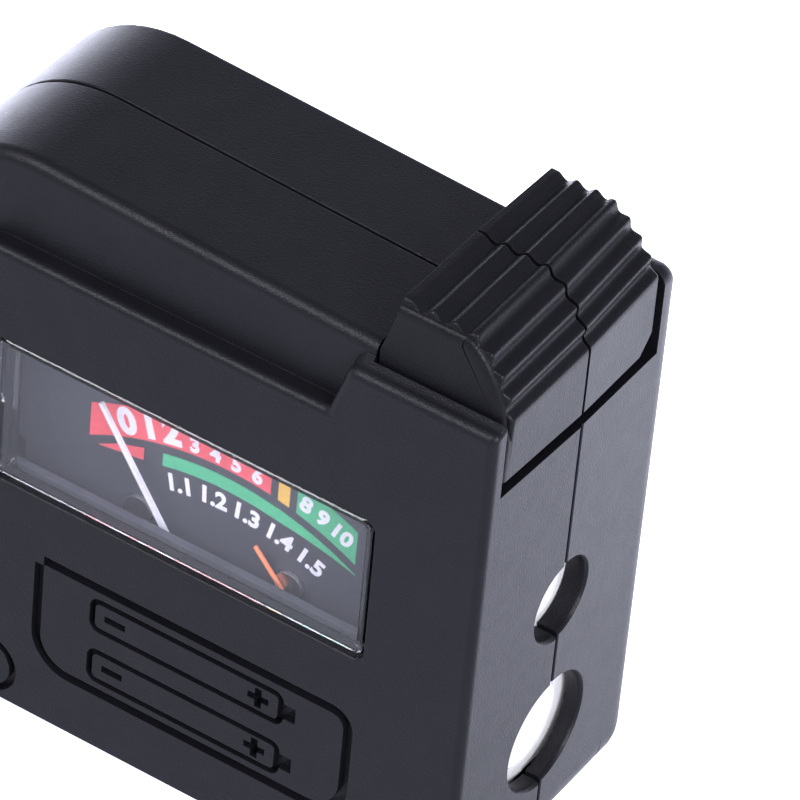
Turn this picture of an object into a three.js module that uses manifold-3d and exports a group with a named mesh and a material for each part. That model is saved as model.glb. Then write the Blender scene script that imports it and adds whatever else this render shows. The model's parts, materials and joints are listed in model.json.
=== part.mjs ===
// Handheld analogue battery tester: a two-shell case with a needle meter, and an
// L-shaped arm that slides up through the case to close the gap under it on a cell.
// Millimetres, +Z up, front of the tester towards -Y, foot of the arm on z = 0.
import * as THREE from "three";
import { mergeVertices } from "three/addons/utils/BufferGeometryUtils.js";
import Module from "manifold-3d";

const wasm = await Module();
wasm.setup();

// ---------------------------------------------------------------- dimensions
const FOOT_T = 4.5; // thickness of the foot
const BAY = 62.5; // clear height under the case with the arm right down (D cell)
const CASE_W = 50.5;
const CASE_Z0 = FOOT_T + BAY; // underside of the case
const CASE_H = 47.25; // height of the case at its right side
const TOP_SLOPE = 0.0435; // the top rises to the left by this much per millimetre
const XR = CASE_W / 2;
const XL = -XR;
const FRONT = -11.2;
const BACK = 11.2;
const BAND_Y = -9.55; // the front face around the raised panel
const REAR_BAND = 8.6; // the rear face around the raised back
const SEAM = 0.15; // half of the gap along the parting plane y = 0
const WALL = 1.8;
const R_TOP_LEFT = 10.6;
const R_BOTTOM_LEFT = 6;
const R_BOTTOM_RIGHT = 3.7;
const R_TOP_RIGHT = 1.3;

const PANEL_LEFT = -19.95; // raised front panel and its cheek beside the head
const PANEL_TOP = 109;
const CHEEK_TOP = 113.9;
const CHEEK_X = 12.6;
const CHEEK_SLOPE = 1.4; // its left side leans over by this much
const BACK_LEFT = -22.6; // raised back, which has a cheek beside the head as well
const BACK_TOP = 111.2;
const BACK_CHEEK_TOP = 114.2;

const WINDOW_X = 16.15; // window opening, half width, then bottom and top
const WINDOW_Z0 = 87.9;
const WINDOW_Z1 = 100.65;

const PLUS_Z = 90.8; // contacts of a 9 V block, 12.7 mm apart
const MINUS_Z = PLUS_Z - 12.7;
const PLUS_R = 3.23;
const MINUS_R = 4.64;

const POCKET_X = 14; // pocket of the ribbed head in the top right corner
const POCKET_FRONT = -9.85;
const POCKET_BACK = 9.7;
const POCKET_Z = 107.1;
const HEAD_FRONT = -9.6;
const HEAD_BACK = 9.05;
const HEAD_Z0 = 108.15;
const HEAD_TOP = 119.4;
const HEAD_X0 = 14.2;
const HEAD_X1 = 25.15;
const HEAD_SHOULDER = 114.5; // the left wall leans in above this
const HEAD_END = 113.55; // the end face is flat below this
const FLAT_X0 = 15.45; // flat part of the top
const FLAT_X = 20.7;
const HEAD_MIDDLE = new THREE.Vector2(19, 112);
const CURVE_POWER = 1.25; // 1 would make the curve beyond the flat a plain ellipse
const FRONT_DRAFT = 0.032; // the head gets narrower by this towards its front
const REAR_DRAFT = 0.03; // and by this towards its back
const POWER_DRAFT = 0.02; // its curve gets flatter by this towards its back
const RIB_TILT = 0.07; // the end face is taller towards the back by this
const RIB_DEPTH = 0.45;
const VALLEYS = 7; // between eight ribs
const FIRST_VALLEY = 0.83; // from the left edge, in rib pitches
const LAST_RIB = 0.7; // from the last valley to the end face, in rib pitches
const RIB_STEPS = 9;
const CURVE_STEPS = 16;
const CHAMFER_END = 1.2; // the chamfer at the head's front ends this far down the end face
const BAR_X0 = 14.75; // flat bar that joins the head to the foot
const BAR_X1 = 20.25;
const BAR_Y0 = -3;
const BAR_Y1 = 8;
const GUSSET = 1.5; // chamfer between the bar and the foot
const HEAD_CHAMFER = 1.6; // on the lower rear edge of the head
const FIT = 0.3; // clearance round everything that slides
const FOOT_X0 = -24;
const FOOT_Y = 10;
const CELL_X = -4; // line through the two contacts that hold a cell

const PIVOT_Z = 81; // axis of the meter needle, at x = 0
const NEEDLE_R = 16.9; // from the axis to the needle's tip
const DIAL_Y = -5.2;
const MARK_X = -15.2; // small plus mark in a ring
const MARK_Z = 70.1;
const HOUSING = 9.4; // half height of the meter's housing
const YOKE_ROOM = 8.5; // radius of the housing's hollow for the yoke, and depths of it
const YOKE_ROOM_Y0 = -3.65;
const YOKE_ROOM_Y1 = 4.8;
const SWING_ROOM = 6.2; // radius of its opening for the coil
const RIVET_X = 6.5;
const RIVET_Z = 85.9;
const TERMINAL_X = 9;
const TERMINAL_Z = 95;
const RESISTOR_Y = 4.2;
const REST_ANGLE = 34.7; // needle at zero, degrees to the left of upright
const SWEEP = 75; // full travel of the needle, degrees
const COIL_HALF = 0.6; // half the width of the coil's band
const ARC_X = 0.5; // centre of the printed arcs, and their radii
const ARC_Z = 69.75;
const ARC_IN = 23.55;
const ARC_OUT = 26.25;

// ---------------------------------------------------------------- helpers
const root = new THREE.Group();
root.name = "battery_tester";

const LOOKS = {
  abs: [0x2b2b30, 0.5, 0],
  grip: [0x1d1d20, 0.55, 0],
  clear: [0xe6eaf0, 0.05, 0],
  meterDark: [0x4a4a55, 0.6, 0],
  dial: [0x55555f, 0.7, 0],
  nickel: [0xe8e4dc, 0.25, 1],
  brass: [0xc8a04c, 0.3, 1],
  steel: [0xa9abb0, 0.3, 1],
  copper: [0xb5652f, 0.35, 1],
  aluminium: [0xc9cbce, 0.35, 1],
  white: [0xeae6f4, 0.5, 0],
  orange: [0xe8744a, 0.5, 0],
  red: [0xb02020, 0.5, 0],
  black: [0x18181a, 0.5, 0],
  green: [0x4faf80, 0.5, 0],
  yellow: [0xe9b950, 0.5, 0],
  beige: [0xcfb88a, 0.5, 0],
};

function part(name, look, solid, parent = root) {
  const [color, roughness, metalness] = LOOKS[look];
  const material = new THREE.MeshStandardMaterial({ color, roughness, metalness });
  const mesh = new THREE.Mesh(geometryOf(solid), material);
  mesh.name = name;
  parent.add(mesh);
  return mesh;
}

// Turns a closed geometry into a solid that can be added to and cut.
function solid(geometry) {
  const bare = new THREE.BufferGeometry();
  bare.setAttribute("position", geometry.getAttribute("position"));
  if (geometry.index) {
    bare.setIndex(geometry.index);
  }
  const merged = mergeVertices(bare, 1e-4);
  return new wasm.Manifold(
    new wasm.Mesh({
      numProp: 3,
      vertProperties: merged.attributes.position.array,
      triVerts: new Uint32Array(merged.index.array),
    }),
  );
}

function geometryOf(manifold) {
  const mesh = manifold.getMesh();
  const geometry = new THREE.BufferGeometry();
  geometry.setAttribute("position", new THREE.BufferAttribute(mesh.vertProperties, 3));
  geometry.setIndex(new THREE.BufferAttribute(mesh.triVerts, 1));
  geometry.computeVertexNormals();
  return geometry;
}

const add = (...solids) => solids.reduce((whole, next) => whole.add(next));
const cut = (body, ...tools) => tools.reduce((rest, tool) => rest.subtract(tool), body);

function box(x0, x1, y0, y1, z0, z1) {
  const geometry = new THREE.BoxGeometry(x1 - x0, y1 - y0, z1 - z0);
  geometry.translate((x0 + x1) / 2, (y0 + y1) / 2, (z0 + z1) / 2);
  return solid(geometry);
}

function rodY(x, z, r, y0, y1, sides = 24, r1 = r) {
  const geometry = new THREE.CylinderGeometry(r1, r, y1 - y0, sides);
  geometry.translate(x, (y0 + y1) / 2, z);
  return solid(geometry);
}

function rodX(y, z, r, x0, x1, sides = 32, r1 = r) {
  const geometry = new THREE.CylinderGeometry(r, r1, x1 - x0, sides);
  geometry.rotateZ(Math.PI / 2);
  geometry.translate((x0 + x1) / 2, y, z);
  return solid(geometry);
}

function rodZ(x, y, r, z0, z1, sides = 32) {
  const geometry = new THREE.CylinderGeometry(r, r, z1 - z0, sides);
  geometry.rotateX(Math.PI / 2);
  geometry.translate(x, y, (z0 + z1) / 2);
  return solid(geometry);
}

// Rounds the corners of an anticlockwise polygon; each corner is [x, z, radius].
function rounded(corners, segments = 6) {
  const points = [];
  corners.forEach(([x, z, r], i) => {
    const p = new THREE.Vector2(x, z);
    const before = corners[(i + corners.length - 1) % corners.length];
    const after = corners[(i + 1) % corners.length];
    const u = new THREE.Vector2(before[0], before[1]).sub(p).normalize();
    const v = new THREE.Vector2(after[0], after[1]).sub(p).normalize();
    if (!r) {
      points.push(p);
      return;
    }
    const half = Math.acos(u.dot(v)) / 2;
    const middle = u.clone().add(v).normalize();
    const centre = p.clone().addScaledVector(middle, r / Math.sin(half));
    const start = p.clone().addScaledVector(u, r / Math.tan(half)).sub(centre);
    const turn = (Math.PI - 2 * half) * Math.sign(v.cross(u));
    for (let k = 0; k <= segments; k += 1) {
      const at = start.clone().rotateAround(new THREE.Vector2(), (turn * k) / segments);
      points.push(at.add(centre));
    }
  });
  return points;
}

const rectangle = (x0, x1, z0, z1, r) =>
  rounded([[x0, z0, r], [x1, z0, r], [x1, z1, r], [x0, z1, r]]);

// Joins outlines of equal length, each in a plane of constant y, into one solid. Its two
// ends are fans of triangles round a hub, if one is given.
function loft(rings, hub) {
  const count = rings[0].points.length;
  const position = [];
  const index = [];
  for (const { y, points } of rings) {
    points.forEach((p) => position.push(p.x, y, p.y));
  }
  for (let k = 0; k + 1 < rings.length; k += 1) {
    for (let i = 0; i < count; i += 1) {
      const a = k * count + i;
      const b = k * count + ((i + 1) % count);
      index.push(a, a + count, b + count, a, b + count, b);
    }
  }
  const cap = ({ y, points }, first, turned) => {
    let faces = THREE.ShapeUtils.triangulateShape(points, []);
    if (hub) {
      const middle = position.length / 3 - first;
      position.push(hub.x, y, hub.y);
      faces = points.map((_, i) => [i, (i + 1) % count, middle]);
    }
    for (const [a, b, c] of faces) {
      index.push(first + a, first + (turned ? c : b), first + (turned ? b : c));
    }
  };
  cap(rings[0], 0, false);
  cap(rings.at(-1), (rings.length - 1) * count, true);
  const geometry = new THREE.BufferGeometry();
  geometry.setAttribute("position", new THREE.Float32BufferAttribute(position, 3));
  geometry.setIndex(index);
  return solid(geometry);
}

const slab = (points, y0, y1) => loft([{ y: y0, points }, { y: y1, points }]);

// A wire or rod of round section through the given points.
function tube(points, r, sides = 6, steps = 14) {
  const circle = new THREE.Shape().absarc(0, 0, r, 0, 2 * Math.PI);
  const path = new THREE.CatmullRomCurve3(points.map((p) => new THREE.Vector3(...p)));
  return solid(
    new THREE.ExtrudeGeometry(circle, {
      steps,
      curveSegments: sides,
      bevelEnabled: false,
      extrudePath: path,
    }),
  );
}

const topAt = (x) => CASE_Z0 + CASE_H + TOP_SLOPE * (XR - x);

// Outline of the case, drawn in by a distance at its top and left, at its right and
// at its bottom.
function caseOutline(soft, crisp = soft, low = crisp) {
  const x0 = XL + soft;
  const x1 = XR - crisp;
  const z0 = CASE_Z0 + low;
  return rounded([
    [x0, z0, R_BOTTOM_LEFT - low],
    [x1, z0, Math.max(R_BOTTOM_RIGHT - crisp, 0.4)],
    [x1, topAt(x1) - soft, Math.max(R_TOP_RIGHT - crisp, 0.3)],
    [x0, topAt(x0) - soft, R_TOP_LEFT - soft],
  ]);
}

// ---------------------------------------------------------------- case
// Outline of the raised panel, drawn in all round, at its bottom and at the cheek's top.
function panelOutline(inset, low, cheek) {
  const slant = CHEEK_X + inset * 0.7;
  return rounded([
    [PANEL_LEFT + inset, CASE_Z0 + low, 0.5],
    [XR - inset, CASE_Z0 + low, Math.max(R_BOTTOM_RIGHT - inset, 0.4)],
    [XR - inset, CHEEK_TOP - cheek, 0.5],
    [slant, CHEEK_TOP - cheek, 1],
    [slant - CHEEK_SLOPE, PANEL_TOP - inset, 0.4],
    [PANEL_LEFT + inset, PANEL_TOP - inset, 4 - inset],
  ]);
}

const screws = [
  { x: -19.6, z: 71.8 },
  { x: -18.6, z: 105.6 },
  { x: 22.2, z: 101 },
];

const barSlot = () =>
  box(BAR_X0 - FIT, BAR_X1 + FIT, BAR_Y0 - FIT, BAR_Y1 + FIT, CASE_Z0 - 1, POCKET_Z + 1);

const pocket = () => box(POCKET_X, XR + 2, POCKET_FRONT, POCKET_BACK, POCKET_Z, 130);

const pocketWalls = () =>
  box(POCKET_X - 1.3, XR - 0.6, -9.5, 9.6, POCKET_Z - 1.3, topAt(POCKET_X) - 0.6);

const contactHoles = () =>
  add(
    rodX(0, PLUS_Z, PLUS_R, XR - 3.4, XR + 1),
    rodX(0, MINUS_Z, MINUS_R, XR - 3.4, XR + 1, 40),
    rodX(0, PLUS_Z, PLUS_R, XR - 0.45, XR + 0.15, 32, PLUS_R + 0.5),
    rodX(0, MINUS_Z, MINUS_R, XR - 0.45, XR + 0.15, 40, MINUS_R + 0.5),
  );

// Room for the two plates behind the right wall, which is thinner round the larger one.
const contactRoom = () =>
  box(XR - 3.4, XR - 1.4, -6, 6, MINUS_Z - 6.2, MINUS_Z + 6);

const cellContactHole = () => rodZ(CELL_X, 0, 4.6, CASE_Z0 - 1, CASE_Z0 + 3);

function frontShell() {
  const outside = loft([
    { y: BAND_Y, points: caseOutline(1, 0.7, 0.3) },
    { y: BAND_Y + 0.3, points: caseOutline(0.4, 0.35, 0.1) },
    { y: BAND_Y + 1, points: caseOutline(0, 0.35, 0) },
    { y: -SEAM, points: caseOutline(0, 0) },
  ]);
  const panel = loft([
    { y: FRONT, points: panelOutline(0.9, 0.4, 1.5) },
    { y: FRONT + 0.25, points: panelOutline(0.4, 0.1, 0.67) },
    { y: FRONT + 0.9, points: panelOutline(0.3, 0.02, 0.12) },
    { y: BAND_Y + 0.5, points: panelOutline(0.3, 0.02, 0) },
  ]);
  const inside = add(
    slab(caseOutline(WALL), BAND_Y + WALL, 1),
    slab(
      rectangle(PANEL_LEFT + WALL, XR - WALL, CASE_Z0 + WALL, PANEL_TOP - WALL, 2),
      FRONT + WALL,
      BAND_Y + WALL + 0.5,
    ),
  );
  const windowHole = loft([
    { y: FRONT - 1, points: windowOutline(-0.3) },
    { y: FRONT + 0.02, points: windowOutline(-0.13) },
    { y: FRONT + 0.2, points: windowOutline(0) },
    { y: -7, points: windowOutline(0) },
  ]);
  const bosses = screws.map(({ x, z }) =>
    cut(rodY(x, z, 1.9, -9, -SEAM - 0.3, 20), rodY(x, z, 0.95, -7.5, 1, 12)),
  );
  const walls = cut(
    pocketWalls(),
    box(0, 40, -SEAM, 20, 0, 200),
    box(0, 40, -20, BAND_Y + 0.3, PANEL_TOP - 0.5, 200),
  );
  return cut(
    add(cut(add(outside, panel), inside), walls, ...bosses),
    pocket(),
    box(POCKET_X, XR + 2, -20, POCKET_FRONT + 0.1, CHEEK_TOP, 130),
    windowHole,
    barSlot(),
    contactHoles(),
    contactRoom(),
    cellContactHole(),
    signGrooves(),
    box(-40, 40, -SEAM, 2, 0, 200),
  );
}

const windowOutline = (inset) =>
  rectangle(-WINDOW_X + inset, WINDOW_X - inset, WINDOW_Z0 + inset, WINDOW_Z1 - inset, 0.8);

// Engraved frame with two cell symbols, and a small plus mark in a ring.
function signGrooves() {
  const deep = FRONT + 0.6;
  const ring = (x0, x1, z0, z1, r, w) =>
    cut(
      slab(rectangle(x0, x1, z0, z1, r), FRONT - 1, deep),
      slab(rectangle(x0 + w, x1 - w, z0 + w, z1 - w, r - w), FRONT - 2, deep + 1),
    );
  const frameOutline = (inset) =>
    rounded([
      [-11.5 + inset, 72.05 + inset, 3.4 - inset],
      [16 - inset, 72.05 + inset, 3.4 - inset],
      [16 - inset, 82.75 - inset, 1.9 - inset],
      [-11.5 + inset, 82.75 - inset, 0],
    ]);
  const frame = cut(
    slab(frameOutline(0), FRONT - 1, deep),
    slab(frameOutline(0.8), FRONT - 2, deep + 1),
    box(-12, -10.75, FRONT - 2, deep + 1, 81.85, 83),
  );
  const plus = (x, z, s) =>
    add(
      box(x - s, x + s, FRONT - 1, deep, z - 0.3, z + 0.3),
      box(x - 0.3, x + 0.3, FRONT - 1, deep, z - s, z + s),
    );
  const cell = (z) =>
    add(
      ring(-6.6, 10.2, z - 1.6, z + 1.6, 0.9, 0.5),
      box(10.2, 11.2, FRONT - 1, deep, z - 0.7, z + 0.7),
      plus(8, z, 0.9),
      box(-5.3, -3.5, FRONT - 1, deep, z - 0.3, z + 0.3),
    );
  return add(
    frame,
    cell(79.75),
    cell(74.95),
    cut(
      rodY(MARK_X, MARK_Z, 2.6, FRONT - 1, deep, 24),
      rodY(MARK_X, MARK_Z, 2, FRONT - 2, deep + 1, 24),
    ),
    plus(MARK_X, MARK_Z, 1.1),
  );
}

// Outline of the raised back, drawn in at its top and left, at its right and at its
// bottom.
function backOutline(soft, crisp, low) {
  return rounded([
    [BACK_LEFT + soft, CASE_Z0 + low, 5],
    [XR - crisp, CASE_Z0 + low, R_BOTTOM_RIGHT - crisp],
    [XR - crisp, BACK_CHEEK_TOP - soft / 2, 1.1],
    [CHEEK_X + soft * 0.7, BACK_CHEEK_TOP - soft / 2, 0.8],
    [CHEEK_X - 0.6 + soft * 0.7, BACK_TOP - soft, 0.4],
    [BACK_LEFT + soft, BACK_TOP - soft, 8 - soft],
  ]);
}

function rearShell() {
  const outside = loft([
    { y: SEAM, points: caseOutline(0.05, 0.05) },
    { y: REAR_BAND - 0.4, points: caseOutline(0.1, 0.1) },
    { y: REAR_BAND - 0.12, points: caseOutline(0.2, 0.12, 0.2) },
    { y: REAR_BAND, points: caseOutline(0.5, 0.15, 0.5) },
  ]);
  const back = loft([
    { y: REAR_BAND - 0.5, points: backOutline(0.15, 0.1, 0.12) },
    { y: BACK - 1.1, points: backOutline(0.2, 0.1, 0.15) },
    { y: BACK - 0.35, points: backOutline(0.5, 0.12, 0.45) },
    { y: BACK, points: backOutline(1.2, 0.4, 1.1) },
  ]);
  const inside = add(
    slab(caseOutline(WALL), -1, REAR_BAND - WALL),
    slab(
      rectangle(BACK_LEFT + WALL, XR - WALL, CASE_Z0 + WALL, BACK_TOP - WALL, 3),
      REAR_BAND - WALL - 0.5,
      BACK - WALL,
    ),
  );
  const bosses = screws.map(({ x, z }) => rodY(x, z, 1.9, SEAM + 0.3, 10, 20));
  const holes = screws.map(({ x, z }) =>
    add(rodY(x, z, 1.75, BACK - 1.25, 13, 20), rodY(x, z, 1.15, -1, 13, 14)),
  );
  const walls = cut(
    pocketWalls(),
    box(0, 40, -20, SEAM, 0, 200),
    box(0, 40, REAR_BAND - 0.3, 20, BACK_TOP - 0.5, 200),
  );
  return cut(
    add(cut(add(outside, back), inside), walls, ...bosses),
    pocket(),
    barSlot(),
    contactHoles(),
    contactRoom(),
    cellContactHole(),
    ...holes,
    box(-40, 40, -2, SEAM, 0, 200),
  );
}

part("front_shell", "abs", frontShell());
part("rear_shell", "abs", rearShell());

screws.forEach(({ x, z }, i) => {
  const screw = cut(
    add(
      rodY(x, z, 1.6, BACK - 1.2, BACK - 0.15, 24),
      rodY(x, z, 0.9, -6.4, BACK - 1.2, 12),
    ),
    box(x - 1.1, x + 1.1, BACK - 0.7, BACK, z - 0.22, z + 0.22),
    box(x - 0.22, x + 0.22, BACK - 0.7, BACK, z - 1.1, z + 1.1),
  );
  part(`case_screw_${i + 1}`, "steel", screw);
});

// ---------------------------------------------------------------- meter
// Everything that turns with the needle is drawn upright round this group's own Y axis.
const pointer = new THREE.Group();
pointer.position.z = PIVOT_Z;
pointer.rotation.y = THREE.MathUtils.degToRad(-REST_ANGLE);
root.add(pointer);

function meterCover() {
  const lens = loft([
    { y: FRONT + 0.2, points: windowOutline(0.42) },
    { y: FRONT + 0.46, points: windowOutline(0.12) },
    { y: -9.05, points: windowOutline(0.12) },
  ]);
  const flange = slab(rectangle(-18.1, 18.1, 86, 102.6, 1), -9.1, -5.9);
  const hollow = add(
    slab(rectangle(-WINDOW_X + 0.9, WINDOW_X - 0.9, 86.9, WINDOW_Z1 - 0.9, 0.4), FRONT + 0.9, -5),
    slab(rectangle(-17.1, 17.1, 80, 101.6, 0.6), -8.25, -5),
  );
  return cut(add(lens, flange), hollow);
}

function meterBase() {
  const plate = slab(rectangle(-17.9, 17.9, 86, 102.4, 1), DIAL_Y + 0.6, -3.7);
  const housing = slab(rectangle(-11, 11, PIVOT_Z - HOUSING, PIVOT_Z + HOUSING, 1), DIAL_Y + 0.6, 6);
  const room = add(
    rodY(0, PIVOT_Z, SWING_ROOM, -6, -3, 48),
    rodY(0, PIVOT_Z, YOKE_ROOM, YOKE_ROOM_Y0, YOKE_ROOM_Y1, 48),
    rodY(0, PIVOT_Z, 1.3, 4, 7, 16),
  );
  return cut(add(plate, housing), room);
}

function meterMask() {
  const face = slab(rectangle(-17, 17, 70, 87.3, 1), -8.15, -7.5);
  const legs = [-1, 1].map((side) =>
    box(side * 13 - 1.5, side * 13 + 1.5, -7.6, DIAL_Y + 0.4, 70.6, 84.3),
  );
  return add(face, ...legs);
}

function dialPlate() {
  const plate = slab(rectangle(-16.6, 16.6, 84.6, 101.2, 0.6), DIAL_Y, DIAL_Y + 0.4);
  const holes = [-RIVET_X, RIVET_X].map((x) => rodY(x, RIVET_Z, 0.75, -7, -4, 12));
  return cut(plate, ...holes);
}

// A printed band of the dial between two radii, trimmed by its left and right ends.
function band(x0, x1, inner, outer) {
  const points = [];
  const steps = 12;
  for (let i = 0; i <= steps; i += 1) {
    const x = x0 + ((x1 - x0) * i) / steps;
    points.push(new THREE.Vector2(ARC_X + x, ARC_Z + Math.sqrt(inner * inner - x * x)));
  }
  for (let i = steps; i >= 0; i -= 1) {
    const x = x0 + ((x1 - x0) * i) / steps;
    points.push(new THREE.Vector2(ARC_X + x, ARC_Z + Math.sqrt(outer * outer - x * x)));
  }
  return slab(points, DIAL_Y - 0.25, DIAL_Y - 0.1);
}

part("meter_cover", "clear", meterCover());
part("meter_base", "meterDark", meterBase());
part("meter_mask", "meterDark", meterMask());
part("dial_plate", "dial", dialPlate());
part("dial_band_red", "red", band(-11.7, 3.7, ARC_IN, ARC_OUT));
part("dial_band_yellow", "yellow", band(4.35, 5.3, ARC_IN, ARC_OUT));
part("dial_band_green", "green", band(5.95, 11.1, ARC_IN, ARC_OUT));

[-RIVET_X, RIVET_X].forEach((x, i) => {
  const rivet = add(
    rodY(x, RIVET_Z, 1.15, DIAL_Y - 0.45, DIAL_Y - 0.1, 16),
    rodY(x, RIVET_Z, 0.6, DIAL_Y - 0.2, DIAL_Y + 0.5, 10),
  );
  part(`dial_rivet_${i + 1}`, "aluminium", rivet);
});

part(
  "needle_stop",
  "orange",
  tube([[3.7, -5.88, 88.3], [4.8, -5.88, 87.1], [6.2, -5.88, 85.6]], 0.18, 6, 3),
);

const yoke = cut(
  rodY(0, PIVOT_Z, 8.2, -3.6, 3.8, 40),
  rodY(0, PIVOT_Z, 5.9, -5, 5, 40),
);
part("yoke_ring", "steel", yoke);

const core = add(
  rodY(0, PIVOT_Z, 3.8, -3.4, 3.2, 32),
  box(-5.75, 5.75, -1, 1, PIVOT_Z - 0.8, PIVOT_Z + 0.8),
);
part("core_magnet", "steel", core);

// A rectangular ring round the core, standing upright at the middle of the scale.
function coil(name, look, w, y0, y1, t) {
  const ring = cut(
    box(-COIL_HALF, COIL_HALF, y0, y1, -w, w),
    box(-2, 2, y0 + t, y1 - t, t - w, w - t),
  );
  part(name, look, ring, pointer).rotation.y = THREE.MathUtils.degToRad(REST_ANGLE - SWEEP / 2);
}
coil("coil_former", "aluminium", 4.6, -4.15, 3.95, 0.35);
coil("coil_winding", "copper", 5.2, -4.65, 4.55, 0.5);

const bridge = cut(
  add(
    box(-7.9, 7.9, -7.35, -6.95, PIVOT_Z - 1.4, PIVOT_Z + 1.4),
    box(-9.6, -7.5, -7.35, -4.75, PIVOT_Z - 1.4, PIVOT_Z + 1.4),
    box(7.5, 9.6, -7.35, -4.75, PIVOT_Z - 1.4, PIVOT_Z + 1.4),
  ),
  rodY(0, PIVOT_Z, 1.05, -9, -6, 16),
);
part("front_bridge", "brass", bridge);
part("front_jewel", "brass", cut(
  rodY(0, PIVOT_Z, 0.95, -7.4, -6.75, 16),
  rodY(0, PIVOT_Z, 0.4, -7.15, -6, 10),
));
part("rear_jewel", "brass", cut(
  rodY(0, PIVOT_Z, 1.2, 5, 6, 16),
  rodY(0, PIVOT_Z, 0.4, 4, 5.7, 10),
));
part("staff_front", "steel", add(
  rodY(0, 0, 0.3, -7.05, -6, 10),
  rodY(0, 0, 0.75, -6.1, -4.7, 12),
), pointer);
part("staff_rear", "steel", add(
  rodY(0, 0, 0.3, 4.8, 5.6, 10),
  rodY(0, 0, 0.75, 4.65, 4.75, 12),
  rodY(0, 0, 0.45, 4.7, 4.95, 12),
), pointer);

function needle() {
  const blade = rounded([
    [-0.22, 1.3, 0],
    [0.22, 1.3, 0],
    [0.16, NEEDLE_R, 0],
    [-0.16, NEEDLE_R, 0],
  ]);
  const hub = rodY(0, 0, 1.5, -6.65, -6.25, 20);
  const tail = box(-0.35, 0.35, -6.65, -6.25, -4.4, -1.2);
  const balanceArms = box(-3, 3, -6.65, -6.25, -0.3, 0.3);
  return cut(add(slab(blade, -6.6, -6.3), hub, tail, balanceArms), rodY(0, 0, 0.85, -8, -5, 16));
}
part("needle", "white", needle(), pointer);

// A clip of wire bent round the needle's tail.
part("counterweight", "steel", add(
  box(-0.9, 0.9, -6.2, -5.9, -4.6, -2.6),
  box(-0.9, 0.9, -6.95, -6.7, -4.6, -4.2),
  box(-0.9, 0.9, -6.95, -5.9, -4.9, -4.5),
), pointer);

// A flat spiral spring round the needle's axis.
function spiral(y) {
  const points = [];
  for (let i = 0; i <= 40; i += 1) {
    const a = (i / 40) * 5 * Math.PI;
    const r = 1.15 + (1.7 * i) / 40;
    points.push([r * Math.cos(a), y, r * Math.sin(a)]);
  }
  return tube(points, 0.12, 4, 60);
}
part("hairspring_front", "brass", spiral(-5.5), pointer);

// ---------------------------------------------------------------- arm
// The head's shape at a place along y: it is a little smaller towards both ends.
function headShape(y) {
  const front = Math.max(-y, 0);
  const back = Math.max(y, 0);
  return {
    left: HEAD_X0 + REAR_DRAFT * back,
    right: HEAD_X1 - FRONT_DRAFT * front - (REAR_DRAFT / 2) * back,
    top: HEAD_TOP,
    end: HEAD_END + RIB_TILT * y,
    bend: FLAT_X - REAR_DRAFT * back,
    power: CURVE_POWER + POWER_DRAFT * back,
  };
}

// The line of the ribs' crests, from the flat on the left down to the end face.
function crestLine({ left, right, top, end, bend, power }) {
  const start = left + FLAT_X0 - HEAD_X0;
  const flat = [0, 0.25, 0.5, 0.75];
  const points = flat.map((k) => new THREE.Vector2(start + (bend - start) * k, top));
  for (let i = 0; i <= CURVE_STEPS; i += 1) {
    const a = (Math.PI / 2) * (i / CURVE_STEPS);
    const x = bend + (right - bend) * Math.sin(a) ** power;
    const z = end + (top - end) * Math.max(Math.cos(a), 0) ** power;
    points.push(new THREE.Vector2(x, z));
  }
  return new THREE.SplineCurve(points);
}

// The valleys between the ribs, as a depth at a share of the length.
function valleyDepth(share) {
  const place = share * (FIRST_VALLEY + VALLEYS - 1 + LAST_RIB) - FIRST_VALLEY;
  const nearest = Math.min(Math.max(Math.round(place), 0), VALLEYS - 1);
  const off = Math.min(Math.abs(place - nearest), 0.5);
  return (RIB_DEPTH * (1 + Math.cos(2 * Math.PI * off))) / 2;
}

// Outline of the head across y, with ribs or level with their valleys, drawn in by
// an inset at its top and right.
function headOutline(y, ribbed, inset) {
  const shape = headShape(y);
  const line = crestLine(shape);
  const steps = VALLEYS * RIB_STEPS;
  const points = [];
  for (let i = steps; i >= 0; i -= 1) {
    const sunk = inset + (ribbed ? valleyDepth(i / steps) : RIB_DEPTH);
    const along = line.getTangentAt(i / steps);
    const at = line.getPointAt(i / steps);
    at.x = Math.min(at.x + along.y * sunk, shape.right - inset);
    at.y -= along.x * sunk;
    points.push(at);
  }
  return [
    new THREE.Vector2(shape.left, HEAD_Z0),
    new THREE.Vector2(shape.right, HEAD_Z0),
    new THREE.Vector2(shape.right, shape.end - CHAMFER_END),
    ...points,
    new THREE.Vector2(shape.left, HEAD_SHOULDER),
  ];
}

function head() {
  const sections = [
    [HEAD_FRONT, false, 0.8],
    [HEAD_FRONT + 0.12, false, 0.35],
    [HEAD_FRONT + 0.5, false, 0],
    [HEAD_FRONT + 0.8, true, 0],
    [0, true, 0],
    [HEAD_BACK - 0.3, true, 0],
    [HEAD_BACK, true, 0.3],
  ];
  const rings = sections.map(([y, ribbed, inset]) => ({ y, points: headOutline(y, ribbed, inset) }));
  return loft(rings, HEAD_MIDDLE);
}

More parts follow.
